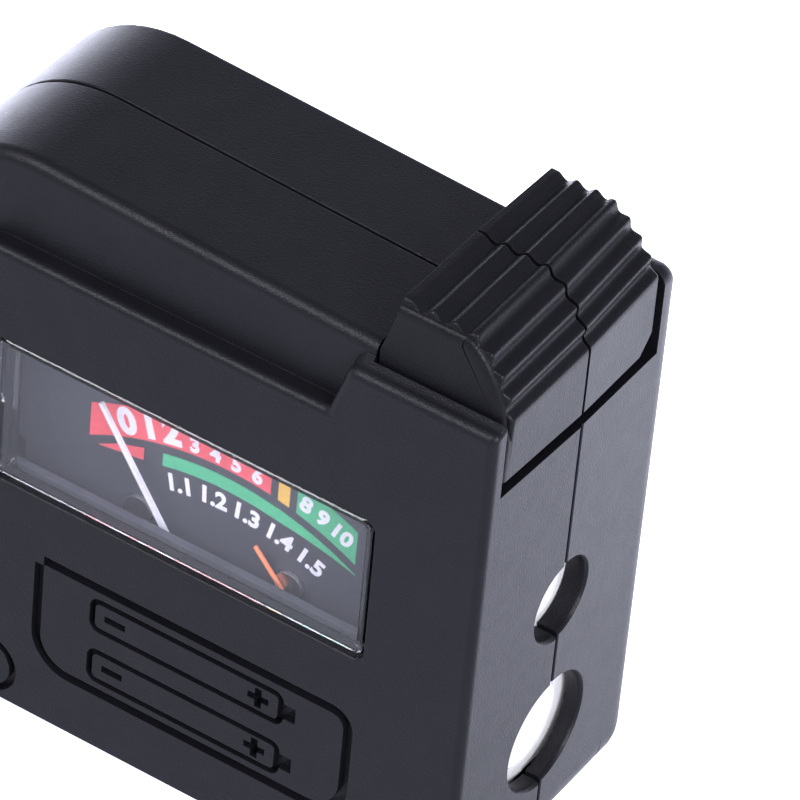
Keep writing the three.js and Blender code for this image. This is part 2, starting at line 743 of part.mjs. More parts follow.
function armWhole() {
  const bar = box(BAR_X0, BAR_X1, BAR_Y0, BAR_Y1, 1, HEAD_Z0 + 1);
  const foot = slab(
    rounded([[FOOT_X0, 0, 1.6], [BAR_X1, 0, 3], [BAR_X1, FOOT_T, 0], [FOOT_X0, FOOT_T, 1.6]]),
    -FOOT_Y,
    FOOT_Y,
  );
  const gusset = slab(
    rounded([
      [BAR_X0 - GUSSET, FOOT_T - 1, 0],
      [BAR_X0 + 1, FOOT_T - 1, 0],
      [BAR_X0 + 1, FOOT_T + GUSSET, 0],
      [BAR_X0, FOOT_T + GUSSET, 0],
    ]),
    BAR_Y0,
    1,
  );
  const contactBed = box(CELL_X - 6.3, CELL_X + 6.3, -5.3, 5.3, FOOT_T - 1, FOOT_T + 1);
  const stripWay = add(
    box(BAR_X0 - 1, BAR_X0 + 0.75, 1.2, 4.8, 2.2, HEAD_Z0 - 1),
    box(CELL_X - 2, BAR_X0 + 0.75, 1.2, 4.8, 2.2, 3.2),
    box(CELL_X - 2, CELL_X + 2, 1.2, 4.8, 2.2, FOOT_T),
  );
  return cut(add(head(), bar, foot, gusset), rearChamfer(), contactBed, stripWay);
}

// Cuts the head's lower rear edge off at 45 degrees.
function rearChamfer() {
  const side = 6;
  const off = side / 2 / Math.SQRT2 - HEAD_CHAMFER / 2;
  const geometry = new THREE.BoxGeometry(40, side, side);
  geometry.rotateX(Math.PI / 4);
  geometry.translate(20, HEAD_BACK + off, HEAD_Z0 - off);
  return solid(geometry);
}

const arm = armWhole();
const armScrews = [
  { x: -16, z: 2.25, y1: FOOT_Y },
  { x: 18.2, z: 56, y1: BAR_Y1 },
  { x: 19.4, z: 112, y1: HEAD_BACK },
];
const armHoles = armScrews.map(({ x, z, y1 }) =>
  add(rodY(x, z, 1.35, y1 - 1.4, y1 + 1, 16), rodY(x, z, 0.8, -1.8, y1, 12)),
);
part("arm_front_half", "grip", cut(
  arm,
  box(-40, 40, -SEAM, 20, -1, 130),
  ...armHoles,
));
part("arm_rear_half", "grip", cut(
  arm,
  box(-40, 40, -20, SEAM, -1, 130),
  ...armHoles,
));
armScrews.forEach(({ x, z, y1 }, i) => {
  const screw = cut(
    add(rodY(x, z, 1.15, y1 - 1.35, y1 - 0.3, 16), rodY(x, z, 0.6, -1.6, y1 - 1.3, 10)),
    box(x - 0.2, x + 0.2, y1 - 0.7, y1 + 1, z - 0.85, z + 0.85),
  );
  part(`arm_screw_${i + 1}`, "steel", screw);
});

part("arm_strip", "brass", add(
  box(BAR_X0 + 0.15, BAR_X0 + 0.5, 1.5, 4.5, 2.5, HEAD_Z0 - 1.4),
  box(CELL_X - 1.6, BAR_X0 + 0.5, 1.5, 4.5, 2.5, 2.9),
));
part("foot_contact", "nickel", add(
  box(CELL_X - 6, CELL_X + 6, -5, 5, FOOT_T - 0.7, FOOT_T - 0.2),
  rodZ(CELL_X, 0, 2.6, FOOT_T - 0.4, FOOT_T, 24),
));

// ---------------------------------------------------------------- contacts
function snapPlate(z, r, x) {
  return add(
    box(x - 0.45, x, -r - 1, r + 1, z - r - 0.6, z + r + 0.6),
    rodX(0, z, r - 0.5, x - 0.2, x + 0.3, 32, r - 1.1),
    box(x - 0.45, x - 0.05, r + 0.5, r + 1.9, z - 1.2, z + 1.2),
  );
}
part("contact_9v_plus", "nickel", snapPlate(PLUS_Z, PLUS_R - 0.1, XR - 1.9));
part("contact_9v_minus", "nickel", snapPlate(MINUS_Z, MINUS_R - 0.1, XR - 1.9));

part("cell_contact", "nickel", add(
  box(CELL_X - 5.6, CELL_X + 5.6, -5.6, 5.6, CASE_Z0 + WALL + 0.3, CASE_Z0 + WALL + 0.7),
  rodZ(CELL_X, 0, 3.4, CASE_Z0 + 1.2, CASE_Z0 + WALL + 0.5, 24),
));
part("arm_brush", "copper", add(
  box(11.3, 11.7, 1.6, 4.4, 92, 104),
  box(11.3, 14.1, 1.6, 4.4, 91.7, 92.1),
  box(13.8, 14.2, 1.6, 4.4, 88.5, 92.1),
));
part("friction_spring", "steel", add(
  box(15.4, 19.6, 8.95, 9.25, 78, 94),
  box(15.4, 19.6, 8.45, 8.75, 83, 89),
  box(15.4, 19.6, 8.6, 9.1, 82.5, 83.1),
  box(15.4, 19.6, 8.6, 9.1, 88.9, 89.5),
));

const terminal = (x) =>
  add(
    rodY(x, TERMINAL_Z, 1.6, -3.3, -2.9, 16),
    rodY(x, TERMINAL_Z, 0.8, -3.4, 0.4, 12),
  );
part("meter_terminal_plus", "brass", terminal(TERMINAL_X));
part("meter_terminal_minus", "brass", terminal(-TERMINAL_X));

function resistor(x, z) {
  return add(
    rodX(RESISTOR_Y, z, 1.2, x - 3.2, x + 3.2, 16),
    rodX(RESISTOR_Y, z, 1.35, x - 3.4, x - 2.2, 16),
    rodX(RESISTOR_Y, z, 1.35, x + 2.2, x + 3.4, 16),
    rodX(RESISTOR_Y, z, 0.3, x - 6.2, x + 6.2, 8),
  );
}
part("resistor_9v", "beige", resistor(0, 96.5));
part("resistor_cell", "beige", resistor(0, 101));

const WIRE_R = 0.4;
const wire = (name, look, points) => part(name, look, tube(points, WIRE_R));

wire("wire_red_9v", "red", [
  [22.6, 6.6, 91.5],
  [22.3, 8.6, 95.5],
  [18, 8.75, 97],
  [13, 8.6, 97.6],
  [9, 6.8, 97.4],
  [6.9, 4.3, 96.7],
]);
wire("wire_black_9v", "black", [
  [22.6, 7, 78],
  [22.2, 8.6, 74.5],
  [17, 8.75, 73],
  [10, 8.5, 73.5],
  [0, 7.4, 80],
  [-8, 7.4, 90.6],
  [-9, 1.2, 95],
]);
wire("wire_red_cell", "red", [
  [-4, 6.4, 70],
  [-10, 8, 72.5],
  [-15, 7.2, 84],
  [-12, 5.5, 98],
  [-6.9, 4.3, 101],
]);
wire("wire_brush", "black", [
  [11.5, 5.2, 103],
  [6, 7.2, 105.2],
  [-6, 7, 105.2],
  [-13.5, 4.5, 102],
  [-10.3, 1.2, 97],
]);

export default root;
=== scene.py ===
import json
import math

import bmesh
import bpy
from mathutils import Matrix, Vector


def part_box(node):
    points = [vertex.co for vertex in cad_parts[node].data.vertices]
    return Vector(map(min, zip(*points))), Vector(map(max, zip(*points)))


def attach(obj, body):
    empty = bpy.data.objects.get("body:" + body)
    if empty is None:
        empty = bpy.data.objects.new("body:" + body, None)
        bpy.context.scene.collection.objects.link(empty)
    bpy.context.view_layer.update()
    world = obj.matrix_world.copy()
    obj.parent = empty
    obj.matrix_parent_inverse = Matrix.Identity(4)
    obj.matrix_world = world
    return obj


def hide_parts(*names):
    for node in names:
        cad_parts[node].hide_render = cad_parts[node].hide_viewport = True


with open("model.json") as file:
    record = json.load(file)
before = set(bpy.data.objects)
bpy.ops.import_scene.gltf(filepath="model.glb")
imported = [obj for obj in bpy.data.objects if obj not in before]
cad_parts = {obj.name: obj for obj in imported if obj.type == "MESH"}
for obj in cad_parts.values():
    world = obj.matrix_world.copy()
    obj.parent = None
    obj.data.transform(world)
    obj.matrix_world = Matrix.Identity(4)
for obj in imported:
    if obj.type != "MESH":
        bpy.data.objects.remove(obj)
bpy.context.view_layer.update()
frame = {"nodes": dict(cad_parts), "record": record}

MM = 0.001

# ------------------------------------------------------------------ dimensions, in mm
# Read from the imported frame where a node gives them.
front_lo, front_hi = (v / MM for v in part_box("front_shell"))
rear_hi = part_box("rear_shell")[1] / MM

# Case
XR = front_hi.x
XL = front_lo.x
CASE_Z0 = front_lo.z
FRONT = front_lo.y
BACK = rear_hi.y
SEAM = 0.15  # half the gap between the shells, and between the arm's halves
CASE_H = 47.25  # at its right side
TOP_SLOPE = 0.0435  # its top rises towards the left by this
BAND_Y = -9.55  # front of the band round the raised panel
REAR_BAND = 8.6  # back of the band round the raised back
WALL = 1.8
TONGUE_OUT = 0.8  # the tongue between the shells lies this far inside their outline
TONGUE_IN = 1.3
TONGUE_REACH = 0.95
R_TOP_LEFT = 10.6
R_BOTTOM_LEFT = 6.0
R_BOTTOM_RIGHT = 3.7
R_TOP_RIGHT = 1.3
BAND_ROUND = 1.0  # radii of the round edges in front and at the back of the band
REAR_ROUND = 0.4
TAPER = 0.032  # how much the right side of the front shell and the head lean in

# Raised panel and raised back
PANEL_LEFT = -19.95
PANEL_TOP = 109.0
PANEL_SIDE = 0.3  # its sides stand in by this much
PANEL_ROUND = 0.65
CHEEK_TOP = 113.2
CHEEK_X = 12.6
CHEEK_SLOPE = 1.4  # its left side leans over by this much
CHEEK_ROUND = 0.8  # radius of its top edge
CHEEK_RISE = 0.6  # behind that edge its top rises by this per millimetre
BACK_LEFT = -22.6
BACK_TOP = 111.2
BACK_SIDE = 0.15
BACK_ROUND = 1.1
BACK_CHEEK_TOP = 114.2

# Window and meter cover
WINDOW_X = 16.15
WINDOW_Z0 = 87.9
WINDOW_Z1 = 100.65
LENS_WALL = 0.9
FLANGE_X = 18.1
FLANGE_Z0 = 86
FLANGE_Z1 = 102.6
FLANGE_FRONT = -9.1
FLANGE_BACK = -5.9

# Holes for the snap contacts of a 9 V block
PLUS_Z = 90.8
MINUS_Z = 78.1
PLUS_R = 3.23
MINUS_R = 4.64
HOLE_DEPTH = 3.4
HOLE_BEVEL = ((-0.42, 0), (-0.25, 0.05), (-0.1, 0.16), (0.3, 0.55))  # (place from the side, widening)

# Engraved sign, and the mark below it
GROOVE = 0.75
SIGN_X0 = -11.5
SIGN_X1 = 16
SIGN_Z0 = 72.05
SIGN_Z1 = 82.75
SIGN_LINE = 0.8
SYMBOL_ROWS = (79.75, 74.95)
SYMBOL_X0 = -6.6
SYMBOL_X1 = 10.2
SYMBOL_HALF = 1.6
SYMBOL_LINE = 0.5
MARK_X = -15.2
MARK_Z = 70.1
MARK_OUT = 2.6
MARK_IN = 2.0

# Pocket and head
POCKET_X = 14.0
POCKET_FRONT = -9.85
POCKET_BACK = 9.7
POCKET_Z = 107.1
POCKET_WALL = 1.3
POCKET_WALL_FRONT = -9.5
POCKET_WALL_BACK = 9.6
HEAD_FRONT = -9.6
HEAD_BACK = 9.05
HEAD_Z0 = 108.15
HEAD_SHOULDER = 114.5  # the left wall leans in above this
HEAD_TOP = 119.4
HEAD_LEFT = 14.2
FLAT_X0 = 15.45
FLAT_X = 20.7
HEAD_X1 = 25.15
HEAD_END = 113.55
HEAD_CHAMFER = 1.6
REAR_DRAFT = 0.03  # the head gets narrower by this towards its back
RIB_TILT = 0.07  # the head's end face is taller towards the back by this
CURVE_POWER = 1.25  # 1 would make the head's curve a plain ellipse
POWER_DRAFT = 0.02  # the curve gets flatter by this towards the back
CHAMFER_END = 1.2  # the chamfer at the head's front ends this far down the end face

# Bar and foot
BAR = (14.75, 20.25, -3.0, 8.0)
FIT = 0.3
FOOT_X0 = -24.0
FOOT_T = 4.5
FOOT_Y = 10.0
FOOT_ROUND = 0.9
CELL_X = -4.0
STRIP_Y0 = 1.2  # groove of the arm's strip
STRIP_Y1 = 4.8
STRIP_DEPTH = 0.75
STRIP_Z0 = 2.2
STRIP_Z1 = 3.2

# Dial
DIAL_Y = -5.2
ARC_X = 0.5  # centre of the printed arcs, and their radii
ARC_Z = 69.75
ARC_IN = 23.55
ARC_OUT = 26.25
RED_ARC = (-11.7, 3.7)
YELLOW_ARC = (4.35, 5.3)
GREEN_ARC = (5.95, 11.1)
LOWER_R = 22.75  # outer radius of the lower green arc, its left end, length and thickness
LOWER_X0 = -5.4
LOWER_LENGTH = 16.6
LOWER_THICK = 1.1
INK = 0.05  # thickness of the printing

# Screws: (x, z) in the case, and (x, z, face that the head lies in) in the arm
SCREWS = ((-19.6, 71.8), (-18.6, 105.6), (22.2, 101.0))
SCREW_HEAD_R = 1.75
SCREW_HEAD_DEPTH = 1.25
SCREW_R = 1.15
BOSS_R = 1.9
ARM_SCREWS = ((-16.0, 2.25, FOOT_Y), (18.2, 56.0, BAR[3]), (19.4, 112.0, HEAD_BACK))
ARM_HEAD_R = 1.35
ARM_HEAD_DEPTH = 1.4
ARM_SCREW_R = 0.8
ARM_SCREW_END = -1.8

# Cutters
OVER = 1  # how far a cutter reaches past a face
FAR_X = 40  # clear of every face
FAR_Y = 20
FAR_Z = 200
ABOVE = 130  # clear of the head


def top_at(x):
    return CASE_Z0 + CASE_H + TOP_SLOPE * (XR - x)


# ------------------------------------------------------------------ mesh helpers
def rounded(corners, n=10):
    """Outline of a polygon given anticlockwise as (x, z, radius), its corners rounded."""
    points = []
    for i, (x, z, r) in enumerate(corners):
        p = Vector((x, z))
        before = Vector(corners[i - 1][:2])
        after = Vector(corners[(i + 1) % len(corners)][:2])
        if r <= 0:
            points.append(p)
            continue
        u = (before - p).normalized()
        v = (after - p).normalized()
        half = math.acos(max(-1.0, min(1.0, u.dot(v)))) / 2
        centre = p + (u + v).normalized() * (r / math.sin(half))
        start = p + u * (r / math.tan(half)) - centre
        turn = (math.pi - 2 * half) * (1 if v.cross(u) > 0 else -1)
        for k in range(n + 1):
            a = turn * k / n
            c, s = math.cos(a), math.sin(a)
            points.append(centre + Vector((c * start.x - s * start.y, s * start.x + c * start.y)))
    return points


def rectangle(x0, x1, z0, z1, r, n=8):
    return rounded([(x0, z0, r), (x1, z0, r), (x1, z1, r), (x0, z1, r)], n)


def circle(x, z, r, n):
    return [Vector((x + r * math.cos(2 * math.pi * i / n), z + r * math.sin(2 * math.pi * i / n)))
            for i in range(n)]


AXES = {
    "y": lambda u, v, w: (u, w, v),
    "x": lambda u, v, w: (w, u, v),
    "z": lambda u, v, w: (u, v, w),
}


def loft(rings, axis="y"):
    """Joins outlines of equal length, each at its own place along an axis, into a closed mesh."""
    place = AXES[axis]
    bm = bmesh.new()
    rows = []
    for w, points in rings:
        rows.append([bm.verts.new(Vector(place(p[0], p[1], w)) * MM) for p in points])
    count = len(rows[0])
    for a, b in zip(rows, rows[1:]):
        for i in range(count):
            j = (i + 1) % count
            bm.faces.new((a[i], b[i], b[j], a[j]))
    bm.faces.new(rows[0])
    bm.faces.new(list(reversed(rows[-1])))
    bmesh.ops.recalc_face_normals(bm, faces=bm.faces)
    return from_bmesh(bm, "solid")


def from_bmesh(bm, name):
    mesh = bpy.data.meshes.new(name)
    bm.to_mesh(mesh)
    bm.free()
    obj = bpy.data.objects.new(name, mesh)
    bpy.context.scene.collection.objects.link(obj)
    return obj


def slab(points, w0, w1, axis="y"):
    return loft([(w0, points), (w1, points)], axis)


def box(x0, x1, y0, y1, z0, z1):
    return slab([Vector(c) for c in ((x0, z0), (x1, z0), (x1, z1), (x0, z1))], y0, y1)


def rod(axis, u, v, stations, n=48):
    """A turned solid along an axis; stations are (place along it, radius)."""
    return loft([(w, circle(u, v, r, n)) for w, r in stations], axis)


def tube(x, z, r, y0, y1, n=32):
    """A plain rod from front to back."""
    return rod("y", x, z, [(y0, r), (y1, r)], n)


def boolean(body, tools, operation):
    for tool in tools:
        step = body.modifiers.new("step", "BOOLEAN")
        step.operation = operation
        step.object = tool
        step.solver = "MANIFOLD"
    bpy.context.view_layer.update()
    graph = bpy.context.evaluated_depsgraph_get()
    mesh = bpy.data.meshes.new_from_object(body.evaluated_get(graph))
    body.modifiers.clear()
    body.data = mesh
    for tool in tools:
        bpy.data.objects.remove(tool)
    return body


def add(body, *tools):
    return boolean(body, tools, "UNION")


def cut(body, *tools):
    return boolean(body, tools, "DIFFERENCE")


def smooth(obj):
    """Smooth shading that keeps edges of more than 32 degrees sharp."""
    mesh = obj.data
    for face in mesh.polygons:
        face.use_smooth = True
    mesh.set_sharp_from_angle(angle=math.radians(32))
    weighted = obj.modifiers.new("even_normals", "WEIGHTED_NORMAL")
    weighted.keep_sharp = True
    weighted.weight = 80


def piece(obj, name, body, slot, *nodes):
    """Finishes a visible piece: its name, look and body, and the CAD nodes that it replaces."""
    obj.name = name
    obj.data.name = name
    smooth(obj)
    obj.data.materials.clear()
    obj.data.materials.append(LOOK[slot])
    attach(obj, body)
    if nodes:
        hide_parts(*nodes)


def quarter(r, n):
    """(depth, inset) pairs of a quarter-round edge, from its face to its side."""
    return [(r * (1 - math.cos(math.pi / 2 * k / n)), r * (1 - math.sin(math.pi / 2 * k / n)))
            for k in range(n + 1)]


# ------------------------------------------------------------------ materials
class Nodes:
    """Short names for building a node tree."""

    def __init__(self, name):
        self.material = bpy.data.materials.new(name)
        self.material.use_nodes = True
        self.tree = self.material.node_tree
        self.tree.nodes.clear()
        self.output = self.tree.nodes.new("ShaderNodeOutputMaterial")
        self.shader = self.tree.nodes.new("ShaderNodeBsdfPrincipled")
        self.link(self.shader.outputs[0], self.output.inputs["Surface"])
        self.place = self.tree.nodes.new("ShaderNodeTexCoord").outputs["Object"]

    def link(self, a, b):
        self.tree.links.new(a, b)

    def set(self, **values):
        for name, value in values.items():
            self.shader.inputs[name.replace("_", " ")].default_value = value

    def noise(self, scale, detail, stretch=None):
        node = self.tree.nodes.new("ShaderNodeTexNoise")
        node.inputs["Scale"].default_value = scale
        node.inputs["Detail"].default_value = detail
        source = self.place
        if stretch:
            mapping = self.tree.nodes.new("ShaderNodeMapping")
            mapping.inputs["Scale"].default_value = stretch
            self.link(self.place, mapping.inputs["Vector"])
            source = mapping.outputs[0]
        self.link(source, node.inputs["Vector"])
        return node.outputs["Fac"]

    def ramp(self, source, stops):
        """Blends between two colours; stops are (place, colour)."""
        node = self.tree.nodes.new("ShaderNodeValToRGB")
        for element, (at, colour) in zip(node.color_ramp.elements, stops):
            element.position = at
            element.color = (*colour, 1.0)
        self.link(source, node.inputs[0])
        return node.outputs["Color"]

    def spread(self, source, low, high, at0=0.3, at1=0.7):
        """A value that goes from low to high as the source goes from at0 to at1."""
        node = self.tree.nodes.new("ShaderNodeMapRange")
        node.inputs["From Min"].default_value = at0
        node.inputs["From Max"].default_value = at1
        node.inputs["To Min"].default_value = low
        node.inputs["To Max"].default_value = high
        self.link(source, node.inputs["Value"])
        return node.outputs["Result"]

    def bump(self, source, strength, distance, normal=None):
        node = self.tree.nodes.new("ShaderNodeBump")
        node.inputs["Strength"].default_value = strength
        node.inputs["Distance"].default_value = distance
        self.link(source, node.inputs["Height"])
        if normal is not None:
            self.link(normal, node.inputs["Normal"])
        return node.outputs["Normal"]

    def soft_edge(self, radius):
        node = self.tree.nodes.new("ShaderNodeBevel")
        node.samples = 6
        node.inputs["Radius"].default_value = radius
        return node.outputs["Normal"]

    def colour(self, socket):
        self.link(socket, self.shader.inputs["Base Color"])

    def roughness(self, socket):
        self.link(socket, self.shader.inputs["Roughness"])

    def normal(self, socket):
        self.link(socket, self.shader.inputs["Normal"])


def moulded(name, low, high, rough, grain, specular=0.25):
    """Moulded plastic: fine spark-eroded grain, faint cloudiness, softened edges."""
    n = Nodes(name)
    n.colour(n.ramp(n.noise(260, 4), [(0.3, low), (0.7, high)]))
    n.roughness(n.spread(n.noise(900, 5), rough - 0.02, rough + 0.02))
    n.normal(n.bump(n.noise(grain, 2), 0.7, 0.000045, n.soft_edge(0.00007)))
    n.set(IOR=1.5, Specular_IOR_Level=specular)
    return n.material


def printed(name, low, high):
    """Printing ink: slight mottling and a rough, dry surface."""
    n = Nodes(name)
    n.colour(n.ramp(n.noise(2500, 4), [(0.3, low), (0.7, high)]))
    n.roughness(n.spread(n.noise(4000, 2), 0.42, 0.6))
    n.normal(n.bump(n.noise(9000, 2), 0.15, 0.000008))
    return n.material


def metal(name, low, high, rough, stretch=None, scale=1500, shine=1.0):
    """Plated or drawn metal, with drawing lines where it is stretched."""
    n = Nodes(name)
    streaks = n.noise(scale, 4, stretch)
    n.colour(n.ramp(streaks, [(0.3, low), (0.7, high)]))
    n.roughness(n.spread(streaks, rough - 0.06, rough + 0.08))
    n.normal(n.bump(streaks, 0.06, 0.00001, n.soft_edge(0.00006)))
    n.set(Metallic=shine)
    return n.material


def clear_plastic(name):
    """Clear moulded acrylic with a faint bluish tint; lamps shine through it."""
    n = Nodes(name)
    n.set(Transmission_Weight=1.0, IOR=1.49, Specular_IOR_Level=0.5)
    n.colour(n.ramp(n.noise(120, 2), [(0.3, (0.93, 0.935, 0.95)), (0.7, (0.97, 0.97, 0.98))]))
    n.roughness(n.spread(n.noise(700, 3), 0.01, 0.05))
    path = n.tree.nodes.new("ShaderNodeLightPath")
    through = n.tree.nodes.new("ShaderNodeBsdfTransparent")
    through.inputs["Color"].default_value = (0.9, 0.9, 0.92, 1)
    mix = n.tree.nodes.new("ShaderNodeMixShader")
    n.link(path.outputs["Is Shadow Ray"], mix.inputs[0])
    n.link(n.shader.outputs[0], mix.inputs[1])
    n.link(through.outputs[0], mix.inputs[2])
    n.link(mix.outputs[0], n.output.inputs["Surface"])
    return n.material


def insulation(name, low, high):
    n = Nodes(name)
    n.colour(n.ramp(n.noise(600, 3), [(0.3, low), (0.7, high)]))
    n.roughness(n.spread(n.noise(1200, 3), 0.35, 0.5))
    n.normal(n.bump(n.noise(2500, 2), 0.15, 0.00002))
    return n.material


LOOK = {
    "case_plastic": moulded("case_abs", (0.0045, 0.0045, 0.0062), (0.0062, 0.0062, 0.0085),
                            rough=0.40, grain=7000),
    "arm_plastic": moulded("arm_abs", (0.0035, 0.0035, 0.0046), (0.0050, 0.0050, 0.0066),
                           rough=0.38, grain=7000, specular=0.21),
    "clear_cover": clear_plastic("clear_acrylic"),
    "meter_plastic": moulded("meter_body", (0.055, 0.055, 0.07), (0.075, 0.075, 0.094),
                             rough=0.5, grain=4000),
    "dial_card": printed("dial_card", (0.040, 0.040, 0.052), (0.052, 0.052, 0.066)),
    "print_red": printed("print_red", (0.78, 0.095, 0.12), (0.87, 0.12, 0.145)),
    "print_yellow": printed("print_yellow", (0.80, 0.47, 0.085), (0.88, 0.55, 0.12)),
    "print_green": printed("print_green", (0.065, 0.40, 0.20), (0.085, 0.48, 0.25)),
    "nickel": metal("nickel_plate", (0.94, 0.93, 0.90), (0.98, 0.97, 0.95), 0.36, shine=0.15),
    "steel": metal("bright_steel", (0.52, 0.52, 0.54), (0.66, 0.66, 0.68), 0.28, (1, 6, 6)),
    "brass": metal("brass", (0.64, 0.44, 0.15), (0.72, 0.51, 0.19), 0.3, (6, 6, 0.3)),
    "copper": metal("copper", (0.62, 0.27, 0.12), (0.76, 0.36, 0.18), 0.3, (1, 14, 1), 4000),
    "aluminium": metal("aluminium", (0.66, 0.66, 0.68), (0.8, 0.8, 0.82), 0.34, (10, 1, 1)),
    "needle_paint": printed("needle_paint", (0.68, 0.66, 0.72), (0.78, 0.76, 0.82)),
    "stop_insulation": insulation("stop_sleeve", (0.80, 0.21, 0.08), (0.88, 0.27, 0.12)),
    "wire_red": insulation("wire_red", (0.42, 0.02, 0.018), (0.5, 0.03, 0.025)),
    "wire_black": insulation("wire_black", (0.008, 0.008, 0.009), (0.014, 0.014, 0.015)),
    "resistor_coat": insulation("resistor_coat", (0.50, 0.40, 0.24), (0.60, 0.49, 0.31)),
}
WHITE_PRINT = printed("print_white", (0.80, 0.78, 0.84), (0.88, 0.86, 0.92))

SLOT_OF = {part["node"]: part["material_slot"] for part in frame["record"]["subparts"]}
for name, node in frame["nodes"].items():
    node.data.materials.clear()
    node.data.materials.append(LOOK[SLOT_OF[name]])


# ------------------------------------------------------------------ case
def case_outline(soft, crisp, low=None):
    """The case's outline, drawn in at its top and left, at its right, and at its bottom."""
    low = crisp if low is None else low
    x0 = XL + soft
    x1 = XR - crisp
    return rounded([
        (x0, CASE_Z0 + low, R_BOTTOM_LEFT - low),
        (x1, CASE_Z0 + low, R_BOTTOM_RIGHT - crisp),
        (x1, top_at(x1) - soft, max(R_TOP_RIGHT - crisp, 0.2)),
        (x0, top_at(x0) - soft, R_TOP_LEFT - soft),
    ], 14)


def panel_outline(depth, soft, crisp, low):
    """Outline of the raised front panel at a depth; it steps up to a cheek by the head."""
    off = max(CHEEK_ROUND - depth, 0)
    cheek = CHEEK_TOP - CHEEK_ROUND + math.sqrt(CHEEK_ROUND ** 2 - off ** 2)
    cheek += CHEEK_RISE * max(depth - CHEEK_ROUND, 0)
    slant = CHEEK_X + soft * 0.7
    return rounded([
        (PANEL_LEFT + soft, CASE_Z0 + low, 0.5),
        (XR - crisp, CASE_Z0 + low, R_BOTTOM_RIGHT - crisp),
        (XR - crisp, cheek, 0.45),
        (slant, cheek, 1.0),
        (slant - CHEEK_SLOPE, PANEL_TOP - soft, 0.5),
        (PANEL_LEFT + soft, PANEL_TOP - soft, 4 - soft),
    ], 8)


def lean(y):
    """How far the right side stands in at a place along y."""
    return TAPER * abs(y)


def window_outline(inset):
    return rectangle(-WINDOW_X + inset, WINDOW_X - inset,
                     WINDOW_Z0 + inset, WINDOW_Z1 - inset, 0.8)


def pocket():
    """The room that the head sits in."""
    return box(POCKET_X, XR + 2 * OVER, POCKET_FRONT, POCKET_BACK, POCKET_Z, ABOVE)


def pocket_walls():
    """A block round the pocket; each shell keeps the part of it on its own side of the seam."""
    return box(POCKET_X - POCKET_WALL, XR - 0.6, POCKET_WALL_FRONT, POCKET_WALL_BACK,
               POCKET_Z - POCKET_WALL, top_at(POCKET_X) - 0.6)


def bar_slot():
    """The way through the case that the arm's bar slides in."""
    x0, x1, y0, y1 = BAR
    return box(x0 - FIT, x1 + FIT, y0 - FIT, y1 + FIT, CASE_Z0 - OVER, POCKET_Z + OVER)


def contact_holes(shift=0.0):
    """Bevelled holes for the two snap contacts of a 9 V block."""
    tools = []
    for z, r in ((PLUS_Z, PLUS_R), (MINUS_Z, MINUS_R)):
        stations = [(XR - HOLE_DEPTH, r)]
        stations += [(XR + place, r + wider) for place, wider in HOLE_BEVEL]
        tools.append(rod("x", shift, z + shift, stations, 64))
    return tools


def contact_room():
    """Room inside the wall for the larger contact's plate."""
    half = 6
    return box(XR - HOLE_DEPTH, XR - 1.4, -half, half, MINUS_Z - half - 0.2, MINUS_Z + half)


def cell_contact_hole():
    """Hole in the underside for the contact that a round cell touches."""
    r = 4.6
    return rod("z", CELL_X, 0, [(CASE_Z0 - OVER, r + 0.3), (CASE_Z0 + 0.3, r), (CASE_Z0 + 3, r)])


def sign_grooves():
    """Engraved frame with two cell symbols, and a small plus mark in a ring."""
    deep = FRONT + GROOVE

    def groove(points):
        return slab(points, FRONT - OVER, deep)

    def island(points):
        """What stays standing inside a groove."""
        return slab(points, FRONT - 2 * OVER, deep + OVER)

    def stroke(x0, x1, z0, z1):
        return box(x0, x1, FRONT - OVER, deep, z0, z1)

    def plus(x, z, half, line=0.3):
        return [stroke(x - half, x + half, z - line, z + line),
                stroke(x - line, x + line, z - half, z + half)]

    def frame_outline(inset):
        return rounded([
            (SIGN_X0 + inset, SIGN_Z0 + inset, 3.4 - inset),
            (SIGN_X1 - inset, SIGN_Z0 + inset, 3.4 - inset),
            (SIGN_X1 - inset, SIGN_Z1 - inset, 1.9 - inset),
            (SIGN_X0 + inset, SIGN_Z1 - inset, 0.05),
        ])

    def symbol_outline(z, inset):
        return rectangle(SYMBOL_X0 + inset, SYMBOL_X1 - inset,
                         z - SYMBOL_HALF + inset, z + SYMBOL_HALF - inset, 0.9 - inset, 6)

    corner_gap = box(SIGN_X0 - 0.5, SIGN_X0 + 0.75, FRONT - 2 * OVER, deep + OVER,
                     SIGN_Z1 - 0.9, SIGN_Z1 + 0.25)
    tools = [cut(groove(frame_outline(0)), island(frame_outline(SIGN_LINE)), corner_gap)]
    for z in SYMBOL_ROWS:
        tools.append(cut(groove(symbol_outline(z, 0)), island(symbol_outline(z, SYMBOL_LINE))))
        tools.append(stroke(SYMBOL_X1, SYMBOL_X1 + 1, z - 0.7, z + 0.7))
        tools.append(stroke(-5.3, -3.5, z - 0.3, z + 0.3))
        tools += plus(8, z, 0.9)
    tools.append(cut(tube(MARK_X, MARK_Z, MARK_OUT, FRONT - OVER, deep, 48),
                     tube(MARK_X, MARK_Z, MARK_IN, FRONT - 2 * OVER, deep + OVER, 48)))
    tools += plus(MARK_X, MARK_Z, 1.1)
    return tools


def tongue_space(grow, y1):
    """The tongue of the rear shell that closes the parting gap, or the groove it goes in."""
    outside = TONGUE_OUT - grow
    inside = TONGUE_IN + grow
    outer = slab(case_outline(outside, outside), -TONGUE_REACH - grow, y1)
    inner = slab(case_outline(inside, inside), -2, y1 + OVER)
    by_contacts = box(XR - 3, XR + OVER, -2, SEAM + 0.01,
                      MINUS_Z - MINUS_R - 0.5, PLUS_Z + PLUS_R + 0.5)
    return cut(outer, inner, by_contacts)


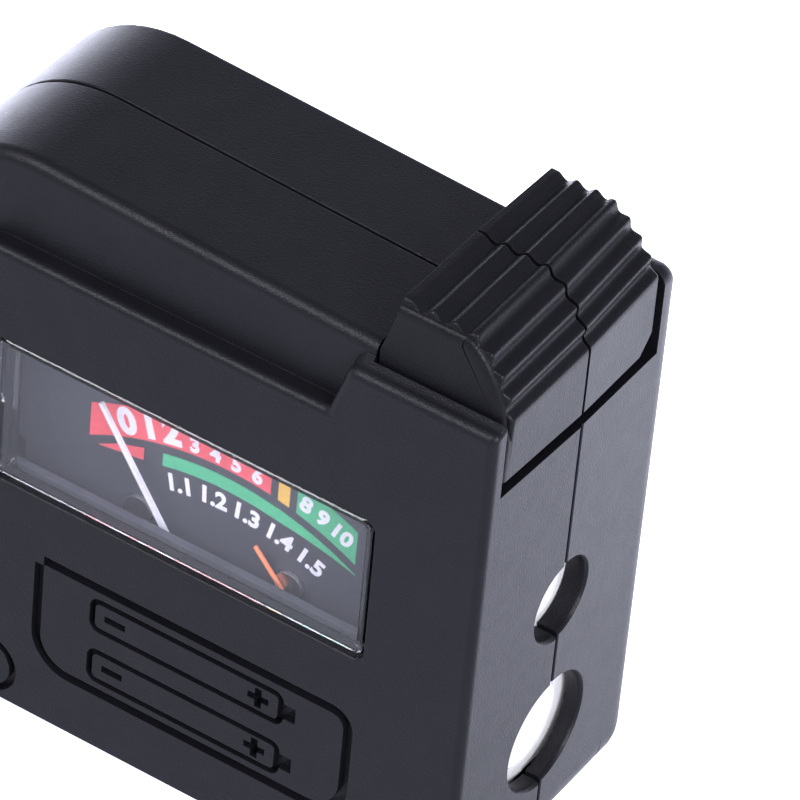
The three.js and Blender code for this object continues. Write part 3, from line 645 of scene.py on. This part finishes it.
def front_band():
    """The front shell's outer form behind its raised panel."""
    rings = [(BAND_Y + d, case_outline(i, lean(BAND_Y + d), i * 0.3))
             for d, i in quarter(BAND_ROUND, 8)]
    rings += [(-SEAM - 0.1, case_outline(0, 0)), (-SEAM, case_outline(0.08, 0.08))]
    return loft(rings)


def front_panel():
    """The raised panel and its cheek, down into the band behind it."""
    rings = [(FRONT + d, panel_outline(d, i + PANEL_SIDE, lean(FRONT + d) + i * 1.1, i * 0.3))
             for d, i in quarter(PANEL_ROUND, 6)]
    for d in (0.8, 1.0, 1.2, 1.4, BAND_Y - FRONT):
        rings.append((FRONT + d, panel_outline(d, PANEL_SIDE, lean(FRONT + d), 0)))
    rings.append((BAND_Y + 0.05, panel_outline(BAND_Y - FRONT, PANEL_SIDE, lean(BAND_Y) + 0.3, 0.3)))
    return loft(rings)


def window_hole():
    """Hole for the window, its front edge softened."""
    return loft([
        (FRONT - OVER, window_outline(-0.3)),
        (FRONT, window_outline(-0.14)),
        (FRONT + 0.08, window_outline(-0.05)),
        (FRONT + 0.2, window_outline(0)),
        (-7, window_outline(0)),
    ])


def front_shell():
    body = front_band()
    panel = front_panel()
    inside = slab(case_outline(WALL, WALL), BAND_Y + WALL, 1)
    inside_panel = slab(rectangle(PANEL_LEFT + WALL, XR - WALL, CASE_Z0 + WALL, PANEL_TOP - WALL, 2),
                        FRONT + WALL, BAND_Y + WALL + 0.5)
    walls = cut(pocket_walls(),
                box(0, FAR_X, -SEAM, FAR_Y, 0, FAR_Z),
                box(0, FAR_X, -FAR_Y, BAND_Y + 0.3, PANEL_TOP - 0.5, FAR_Z))
    bosses = [cut(tube(x, z, BOSS_R, -9, -SEAM - 0.3),
                  tube(x, z, BOSS_R / 2, -7.5, 1, 24)) for x, z in SCREWS]
    add(body, panel)
    cut(body, inside, inside_panel)
    add(body, walls, *bosses)
    cut(body,
        pocket(),
        box(POCKET_X, XR + 2 * OVER, -FAR_Y, POCKET_FRONT + 0.1, CHEEK_TOP + 0.5, ABOVE),
        window_hole(),
        bar_slot(),
        *contact_holes(),
        contact_room(),
        cell_contact_hole(),
        *sign_grooves(),
        tongue_space(0.1, 2),
        box(-FAR_X, FAR_X, -SEAM, 3, 0, FAR_Z))
    piece(body, "case_front", "case", "case_plastic", "front_shell")


def back_outline(soft, crisp, low):
    """Outline of the raised back; it steps up behind the head."""
    return rounded([
        (BACK_LEFT + soft, CASE_Z0 + low, 5),
        (XR - crisp, CASE_Z0 + low, R_BOTTOM_RIGHT - crisp),
        (XR - crisp, BACK_CHEEK_TOP - soft / 2, 1.1),
        (CHEEK_X + soft * 0.7, BACK_CHEEK_TOP - soft / 2, 0.8),
        (CHEEK_X - 0.6 + soft * 0.7, BACK_TOP - soft, 0.4),
        (BACK_LEFT + soft, BACK_TOP - soft, 8 - soft),
    ], 8)


def rear_band():
    """The rear shell's outer form in front of its raised back."""
    rings = [(SEAM, case_outline(0.12, 0.12)), (SEAM + 0.1, case_outline(0.05, 0.05))]
    rings += [(REAR_BAND - d, case_outline(0.1 + i, 0.1, 0.1 + i))
              for d, i in reversed(quarter(REAR_ROUND, 5))]
    return loft(rings)


def raised_back():
    rings = [(REAR_BAND - 0.5, back_outline(BACK_SIDE, 0.3, 0.3)),
             (REAR_BAND - 0.05, back_outline(BACK_SIDE, 0.3, 0.3)),
             (REAR_BAND, back_outline(BACK_SIDE, 0.1, 0.12))]
    rings += [(BACK - d, back_outline(BACK_SIDE + i, 0.1 + i * 0.25, 0.12 + i * 0.9))
              for d, i in reversed(quarter(BACK_ROUND, 8))]
    return loft(rings)


def screw_holes():
    """Holes for the case screws, with a bevelled room for each head."""
    behind = 13  # clear of the back
    bevel = SCREW_HEAD_R + 0.25
    stations = [(BACK - SCREW_HEAD_DEPTH, SCREW_HEAD_R), (BACK - 0.12, SCREW_HEAD_R),
                (BACK + 0.1, bevel), (behind, bevel)]
    holes = []
    for x, z in SCREWS:
        holes.append(rod("y", x, z, stations, 40))
        holes.append(tube(x, z, SCREW_R, -1, behind))
    return holes


def rear_shell():
    body = rear_band()
    back = raised_back()
    inside = slab(case_outline(WALL, WALL), -1, REAR_BAND - WALL)
    inside_back = slab(rectangle(BACK_LEFT + WALL, XR - WALL, CASE_Z0 + WALL, BACK_TOP - WALL, 3),
                       REAR_BAND - WALL - 0.5, BACK - WALL)
    walls = cut(pocket_walls(),
                box(0, FAR_X, -FAR_Y, SEAM, 0, FAR_Z),
                box(0, FAR_X, REAR_BAND - 0.3, FAR_Y, BACK_TOP - 0.5, FAR_Z))
    bosses = [tube(x, z, BOSS_R, SEAM + 0.3, 10) for x, z in SCREWS]
    add(body, back)
    cut(body, inside, inside_back)
    add(body, walls, *bosses, tongue_space(0, 2.5))
    cut(body,
        pocket(),
        bar_slot(),
        *contact_holes(0.12),
        contact_room(),
        cell_contact_hole(),
        *screw_holes())
    piece(body, "case_rear", "case", "case_plastic", "rear_shell")


# ------------------------------------------------------------------ arm
RIB_DEPTH = 0.45
FIRST_VALLEY = 0.83  # in rib pitches from the head's left edge
LAST_RIB = 0.7  # from the last valley to the end of the path, in rib pitches
VALLEYS = 7
FLAT_STEPS = 30
CURVE_STEPS = 100


def crest_path(y):
    """The line of the ribs' crests at a place along y, from left to right: points, normals
    and distances along it."""
    back = max(y, 0.0)
    left = HEAD_LEFT + REAR_DRAFT * back
    right = HEAD_X1 - TAPER * max(-y, 0.0) - REAR_DRAFT / 2 * back
    end = HEAD_END + RIB_TILT * y
    power = CURVE_POWER + POWER_DRAFT * back
    bend = FLAT_X - REAR_DRAFT * back
    start = left + FLAT_X0 - HEAD_LEFT
    points = [Vector((start + (bend - start) * k / FLAT_STEPS, HEAD_TOP)) for k in range(FLAT_STEPS)]
    for k in range(CURVE_STEPS + 1):
        t = math.pi / 2 * k / CURVE_STEPS
        points.append(Vector((bend + (right - bend) * math.sin(t) ** power,
                              end + (HEAD_TOP - end) * max(math.cos(t), 0.0) ** power)))
    path = []
    length = 0.0
    for i, p in enumerate(points):
        before = points[max(i - 1, 0)]
        after = points[min(i + 1, len(points) - 1)]
        along = (after - before).normalized()
        length += (p - before).length
        path.append((p, Vector((-along.y, along.x)), length))
    return path, left, right


def valley_depth(pitches):
    nearest = min(abs(pitches - FIRST_VALLEY - k) for k in range(VALLEYS))
    if nearest > 0.5:
        return 0.0
    return RIB_DEPTH * ((1 + math.cos(2 * math.pi * nearest)) / 2) ** 0.85


def head_outline(y, ribs, inset=0.0, edge=0.0):
    """Outline of the head across y; ribs goes from 0, level with the valleys, to 1. It is
    drawn in by an inset at its top and right, and by an edge at its left and bottom."""
    path, left, right = crest_path(y)
    pitch = path[-1][2] / (FIRST_VALLEY + VALLEYS - 1 + LAST_RIB)
    top = []
    for p, normal, s in path:
        depth = RIB_DEPTH - ribs * (RIB_DEPTH - valley_depth(s / pitch)) + inset
        q = p - normal * depth
        top.append(Vector((min(q.x, right - inset), q.y)))
    top.reverse()
    end = HEAD_END + RIB_TILT * y - CHAMFER_END
    return [Vector((left + edge, HEAD_Z0 + edge)), Vector((right - edge, HEAD_Z0 + edge)),
            Vector((right - edge, end)), *top, Vector((left + edge, HEAD_SHOULDER))]


def head():
    """The ribbed head, from its chamfered front to its back."""
    chamfer = 0.8
    depth = 0.6  # of the chamfer, for each millimetre that it takes off
    fade = 0.35  # behind the chamfer the ribs grow to their full height over this
    rings = [(HEAD_FRONT + d * depth, head_outline(HEAD_FRONT + d * depth, 0, i, i * 0.2))
             for d, i in quarter(chamfer, 6)]
    for k in range(1, 7):
        t = math.pi / 2 * k / 6
        y = HEAD_FRONT + chamfer * depth + fade * (1 - math.cos(t))
        rings.append((y, head_outline(y, math.sin(t))))
    for k in range(7):
        y = -8 + 16 * k / 6
        rings.append((y, head_outline(y, 1)))
    rings += [(HEAD_BACK - d, head_outline(HEAD_BACK - d, 1, i, i))
              for d, i in reversed(quarter(0.3, 4))]
    return loft(rings)


def foot():
    x1 = BAR[1]

    def outline(inset):
        return rounded([
            (FOOT_X0 + inset, inset, 1.6),
            (x1 - inset, inset, 3),
            (x1 - inset, FOOT_T - inset, 0.3),
            (FOOT_X0 + inset, FOOT_T - inset, 1.6),
        ], 8)

    edge = quarter(FOOT_ROUND, 6)
    return loft([(-FOOT_Y + d, outline(i)) for d, i in edge]
                + [(FOOT_Y - d, outline(i)) for d, i in reversed(edge)])


def arm_whole():
    """Both halves of the arm in one: the head, the bar and the foot."""
    x0, x1, y0, y1 = BAR
    groove_x = x0 + STRIP_DEPTH
    whole = head()
    bar = slab(rectangle(x0, x1, y0, y1, 0.5, 6), 1, HEAD_Z0 + 1, "z")
    gusset = slab([Vector(c) for c in ((x0 - 1.5, FOOT_T - 1), (x0 + 1, FOOT_T - 1),
                                       (x0 + 1, FOOT_T + 1.5), (x0, FOOT_T + 1.5))], y0 + 0.4, 1)
    add(whole, bar, foot(), gusset)
    cut(whole,
        rear_chamfer(),
        box(CELL_X - 6.3, CELL_X + 6.3, -5.3, 5.3, FOOT_T - 1, FOOT_T + OVER),
        box(x0 - OVER, groove_x, STRIP_Y0, STRIP_Y1, STRIP_Z0, HEAD_Z0 - 1),
        box(CELL_X - 2, groove_x, STRIP_Y0, STRIP_Y1, STRIP_Z0, STRIP_Z1),
        box(CELL_X - 2, CELL_X + 2, STRIP_Y0, STRIP_Y1, STRIP_Z0, FOOT_T))
    return whole


def rear_chamfer():
    """Cutter for the head's lower rear edge, at 45 degrees."""
    c = HEAD_CHAMFER
    y = HEAD_BACK
    points = [(y - c, HEAD_Z0), (y - c, HEAD_Z0 - 2), (y + 2, HEAD_Z0 - 2),
              (y + 2, HEAD_Z0 + c), (y, HEAD_Z0 + c)]
    return slab([Vector(p) for p in points], 10, FAR_X, "x")


def arm_holes():
    holes = []
    for x, z, face in ARM_SCREWS:
        holes.append(tube(x, z, ARM_HEAD_R, face - ARM_HEAD_DEPTH, face + OVER))
        holes.append(tube(x, z, ARM_SCREW_R, ARM_SCREW_END, face, 24))
    return holes


def arm_spine():
    """Tongue of the arm's rear half that closes the gap between the halves."""
    x0, x1 = BAR[:2]
    y0 = 0.02 - SEAM
    y1 = SEAM + 0.05
    return [box(x0 + 0.6, x1 - 0.6, y0, y1, 2, HEAD_Z0 + 2),
            box(FOOT_X0 + 1.2, x1 - 1.2, y0, y1, 0.8, FOOT_T - 1.2),
            box(HEAD_LEFT + 0.8, HEAD_X1 - 0.9, y0, y1, HEAD_Z0 + 0.6, HEAD_END - 0.5),
            box(HEAD_LEFT + 1.4, FLAT_X - 0.3, y0, y1, HEAD_END - 1, HEAD_TOP - 1.5)]


def copy_of(obj):
    """A second object with its own copy of the mesh."""
    twin = obj.copy()
    twin.data = obj.data.copy()
    bpy.context.scene.collection.objects.link(twin)
    return twin


def arm():
    """The arm's two halves, cut from one solid along the seam."""
    front = cut(arm_whole(), *arm_holes())
    rear = copy_of(front)
    cut(front, box(-FAR_X, FAR_X, -SEAM, FAR_Y, -OVER, ABOVE))
    cut(rear, box(-FAR_X, FAR_X, -FAR_Y, SEAM, -OVER, ABOVE))
    add(rear, *arm_spine())
    cut(rear, *arm_holes())
    piece(front, "arm_front", "arm", "arm_plastic", "arm_front_half")
    piece(rear, "arm_rear", "arm", "arm_plastic", "arm_rear_half")


# ------------------------------------------------------------------ meter
def lens():
    """The clear cover: a bevelled window block on a thinner flange."""
    block = loft([
        (FRONT + 0.2, window_outline(0.42)),
        (FRONT + 0.23, window_outline(0.34)),
        (FRONT + 0.4, window_outline(0.16)),
        (FRONT + 0.46, window_outline(0.12)),
        (FLANGE_FRONT + 0.05, window_outline(0.12)),
    ])
    flange = slab(rectangle(-FLANGE_X, FLANGE_X, FLANGE_Z0, FLANGE_Z1, 1), FLANGE_FRONT, FLANGE_BACK)
    add(block, flange)
    window_x = WINDOW_X - LENS_WALL
    flange_x = FLANGE_X - 1
    cut(block,
        slab(rectangle(-window_x, window_x, FLANGE_Z0 + LENS_WALL, WINDOW_Z1 - LENS_WALL, 0.4),
             FRONT + LENS_WALL, -5),
        slab(rectangle(-flange_x, flange_x, 80, FLANGE_Z1 - 1, 0.6), FLANGE_FRONT + 0.85, -5))
    piece(block, "window_lens", "case", "clear_cover", "meter_cover")


def arc_points(r, x0, x1, n=32):
    """Points on an arc round the dial's centre, from x0 to x1 measured from that centre."""
    xs = [x0 + (x1 - x0) * k / n for k in range(n + 1)]
    return [Vector((ARC_X + x, ARC_Z + math.sqrt(r * r - x * x))) for x in xs]


def band(x0, x1):
    """Outline of a part of the upper scale."""
    return arc_points(ARC_IN, x0, x1) + arc_points(ARC_OUT, x1, x0)


def ink(points, layer=0):
    """A printed shape on the dial; a higher layer lies over a lower one."""
    return slab(points, DIAL_Y - INK * (layer + 1) - 0.01, DIAL_Y - INK * layer - 0.002)


def number(text, size, angle, radius, layer, bold):
    """A number on the dial, upright along the radius at an angle from the vertical."""
    curve = bpy.data.curves.new("number", "FONT")
    curve.body = text
    curve.size = size * MM
    curve.align_x = "CENTER"
    curve.align_y = "CENTER"
    curve.extrude = INK * MM / 2
    curve.offset = bold * size * MM
    curve.resolution_u = 4
    source = bpy.data.objects.new("number", curve)
    bpy.context.scene.collection.objects.link(source)
    bpy.context.view_layer.update()
    graph = bpy.context.evaluated_depsgraph_get()
    mesh = bpy.data.meshes.new_from_object(source.evaluated_get(graph))
    bpy.data.objects.remove(source)
    a = math.radians(angle)
    up = Vector((math.sin(a), 0, math.cos(a)))
    along = Vector((math.cos(a), 0, -math.sin(a)))
    middle = Vector((ARC_X, DIAL_Y - INK * (layer + 0.5) - 0.01, ARC_Z))
    at = (middle + up * radius) * MM
    turn = Matrix((along, up, Vector((0, -1, 0)))).transposed().to_4x4()
    mesh.transform(Matrix.Translation(at) @ turn)
    obj = bpy.data.objects.new("number", mesh)
    bpy.context.scene.collection.objects.link(obj)
    return obj


def joined(objects, name):
    """One object that holds the meshes of several."""
    bm = bmesh.new()
    for obj in objects:
        bm.from_mesh(obj.data)
        bpy.data.objects.remove(obj)
    return from_bmesh(bm, name)


def lower_arc():
    """Outline of the lower green arc, which thins out over its right half."""
    steps = 32
    thin_from = 0.55
    lower = []
    upper = []
    for k in range(steps + 1):
        share = k / steps
        x = LOWER_X0 + LOWER_LENGTH * share
        z = math.sqrt(LOWER_R * LOWER_R - x * x)
        thinned = max(0.0, (share - thin_from) / (1 - thin_from)) ** 1.5
        upper.append(Vector((ARC_X + x, ARC_Z + z)))
        lower.append(Vector((ARC_X + x, ARC_Z + z - LOWER_THICK * (1 - thinned) - 0.02)))
    return lower + upper[::-1]


def dial_bands():
    wedge = [Vector((ARC_X + x, ARC_Z + z))
             for x, z in ((-10.9, 20.0), (-7.05, 20.6), (-7.05, 21.7), (-9.2, 20.95))]
    red = joined([ink(band(*RED_ARC)), ink(wedge)], "red")
    piece(red, "scale_red", "case", "print_red", "dial_band_red")
    yellow = ink(band(*YELLOW_ARC))
    piece(yellow, "scale_yellow", "case", "print_yellow", "dial_band_yellow")
    green = joined([ink(band(*GREEN_ARC)), ink(lower_arc())], "green")
    piece(green, "scale_green", "case", "print_green", "dial_band_green")


def dial_numbers():
    """Each row is a size, a radius, a layer, a boldness and the numbers with their angles."""
    rows = (
        (3.0, 24.85, 1, 0.05, (("0", -20.2), ("1", -15.6), ("2", -11.2))),
        (1.75, 24.4, 1, 0.04, (("3", -6.6), ("4", -2.4), ("5", 1.8), ("6", 6.0))),
        (1.9, 24.85, 1, 0.04, (("8", 15.7), ("9", 19.2), ("10", 23.2))),
        (2.0, 20.3, 0, 0.035, (("1.1", -11.0), ("1.2", -2.9), ("1.3", 5.2),
                               ("1.4", 13.3), ("1.5", 21.4))),
    )
    marks = []
    for size, radius, layer, bold, texts in rows:
        marks += [number(text, size, angle, radius, layer, bold) for text, angle in texts]
    white = joined(marks, "scale_numbers")
    piece(white, "scale_numbers", "case", "dial_card")
    white.data.materials[0] = WHITE_PRINT


# ------------------------------------------------------------------ build
front_shell()
rear_shell()
arm()
lens()
dial_bands()
dial_numbers()


# ------------------------------------------------------------------ studio
# Metres from here on.
LAMP_COLOUR = (0.92, 0.93, 1.0)
LAMP_TARGET = Vector((0, 0, 0.09))
CAMERA_AT = (0.21686, -0.35601, 0.45539)
CAMERA_RIGHT = Vector((0.82923, 0.55396, 0.07416))
CAMERA_UP = Vector((-0.40989, 0.51256, 0.75450))
CAMERA_FORWARD = Vector((-0.37995, 0.65606, -0.65209))
FOCAL_LENGTH = 350.7  # in mm, for a sensor 36 mm wide


def add_floor():
    """A pale floor whose glow is painted light: it glows behind the object, most of all to its left,
    and stays dim in front of it as painted shade.
    """
    bpy.ops.mesh.primitive_plane_add(size=6)
    floor = bpy.context.object
    floor.name = "floor"
    n = Nodes("floor")
    n.colour(n.ramp(n.noise(3, 2), [(0.3, (0.54, 0.55, 0.60)), (0.7, (0.57, 0.58, 0.63))]))
    n.set(Roughness=0.9, Emission_Color=(0.82, 0.84, 1.0, 1))
    split = n.tree.nodes.new("ShaderNodeSeparateXYZ")
    n.link(n.place, split.inputs[0])
    away = n.tree.nodes.new("ShaderNodeVectorMath")
    away.operation = "LENGTH"
    n.link(n.place, away.inputs[0])
    # Painted light and shade: the glow is strong behind the object and to its left, dim in front of
    # it, and fades with distance from it.
    painted_glow = n.spread(split.outputs["Y"], 0.12, 2.8, 0.02, 0.13)
    for factor in (n.spread(away.outputs["Value"], 1.0, 0.25, 0.4, 1.1),
                   n.spread(split.outputs["X"], 3.8, 1.0, -0.45, -0.12)):
        product = n.tree.nodes.new("ShaderNodeMath")
        product.operation = "MULTIPLY"
        n.link(painted_glow, product.inputs[0])
        n.link(factor, product.inputs[1])
        painted_glow = product.outputs[0]
    n.link(painted_glow, n.shader.inputs["Emission Strength"])
    floor.data.materials.append(n.material)


def add_surroundings():
    """A soft grey room whose horizon is bright behind the object and to its left."""
    world = bpy.data.worlds.new("studio")
    bpy.context.scene.world = world
    world.use_nodes = True
    tree = world.node_tree
    direction = tree.nodes.new("ShaderNodeTexCoord").outputs["Generated"]

    towards = tree.nodes.new("ShaderNodeVectorMath")
    towards.operation = "DOT_PRODUCT"
    towards.inputs[1].default_value = (-0.6, 0.8, 0)
    tree.links.new(direction, towards.inputs[0])
    half = tree.nodes.new("ShaderNodeMapRange")
    half.inputs["From Min"].default_value = -1
    tree.links.new(towards.outputs["Value"], half.inputs["Value"])
    horizon = tree.nodes.new("ShaderNodeValToRGB")
    for element, (at, level) in zip(horizon.color_ramp.elements, ((0.5, 0.3), (1.0, 4.2))):
        element.position = at
        element.color = (level * 0.86, level * 0.88, level * 1.06, 1)
    tree.links.new(half.outputs[0], horizon.inputs[0])

    split = tree.nodes.new("ShaderNodeSeparateXYZ")
    tree.links.new(direction, split.inputs[0])
    rise = tree.nodes.new("ShaderNodeMapRange")
    rise.interpolation_type = "SMOOTHSTEP"
    rise.inputs["From Min"].default_value = 0.02
    rise.inputs["From Max"].default_value = 0.3
    tree.links.new(split.outputs["Z"], rise.inputs["Value"])

    mix = tree.nodes.new("ShaderNodeMix")
    mix.data_type = "RGBA"
    tree.links.new(rise.outputs[0], mix.inputs[0])
    tree.links.new(horizon.outputs[0], mix.inputs[6])
    mix.inputs[7].default_value = (0.38, 0.39, 0.47, 1)
    tree.links.new(mix.outputs[2], tree.nodes["Background"].inputs[0])


def add_lamp(name, at, size, power, glossy=True):
    data = bpy.data.lights.new(name, "AREA")
    data.shape = "SQUARE"
    data.size = size
    data.energy = power
    data.color = LAMP_COLOUR
    obj = bpy.data.objects.new(name, data)
    obj.location = at
    obj.visible_glossy = glossy
    obj.rotation_euler = (LAMP_TARGET - Vector(at)).to_track_quat("-Z", "Y").to_euler()
    bpy.context.scene.collection.objects.link(obj)


def add_camera():
    """The camera at the object's upper right, looking down at it through a long lens."""
    data = bpy.data.cameras.new("camera")
    data.sensor_width = 36
    data.lens = FOCAL_LENGTH
    data.clip_start = 0.01
    data.clip_end = 20
    camera = bpy.data.objects.new("camera", data)
    turn = Matrix((CAMERA_RIGHT, CAMERA_UP, -CAMERA_FORWARD)).transposed().to_4x4()
    camera.matrix_world = Matrix.Translation(CAMERA_AT) @ turn
    bpy.context.scene.collection.objects.link(camera)
    bpy.context.scene.camera = camera
    view = bpy.context.scene.view_settings
    view.view_transform = "Standard"
    view.look = "None"


add_floor()
add_surroundings()
add_lamp("key", (-0.8, -1.4, 1.45), 0.8, 25)
add_lamp("right", (1.3, -0.8, 0.9), 0.7, 26)
add_lamp("camera_side", (0.75, -1.3, 1.35), 0.7, 12, glossy=False)
add_camera()
